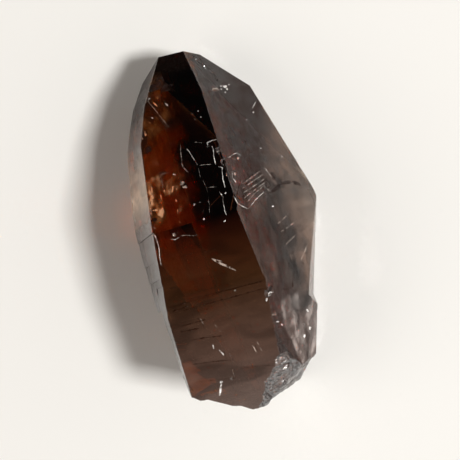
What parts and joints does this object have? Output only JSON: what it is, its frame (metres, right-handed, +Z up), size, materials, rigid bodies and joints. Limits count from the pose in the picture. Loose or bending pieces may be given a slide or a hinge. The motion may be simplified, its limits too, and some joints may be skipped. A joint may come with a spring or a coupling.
{
  "type": "lemurian quartz crystal",
  "caption": "Smoky Lemurian quartz point: six tapering side faces with growth ledges, a faceted tip and a broken base, lying on one side face",
  "frame": {"origin": "on the surface that the crystal rests on, under the middle of its bounding box", "axes": "+Z up, +Y along the crystal axis from the broken base to the tip, +X toward the side with the two right-hand faces; the crystal lies on the side face opposite its top face"},
  "size_m": [0.036, 0.0684, 0.0314],
  "materials": {
    "smoky_quartz": "see-through smoky brown quartz, glossy faces with fine growth ledges, frosted where it is pitted and on the broken base"
  },
  "bodies": {
    "root": {"quartz_crystal": "smoky_quartz"}
  },
  "joints": []
}
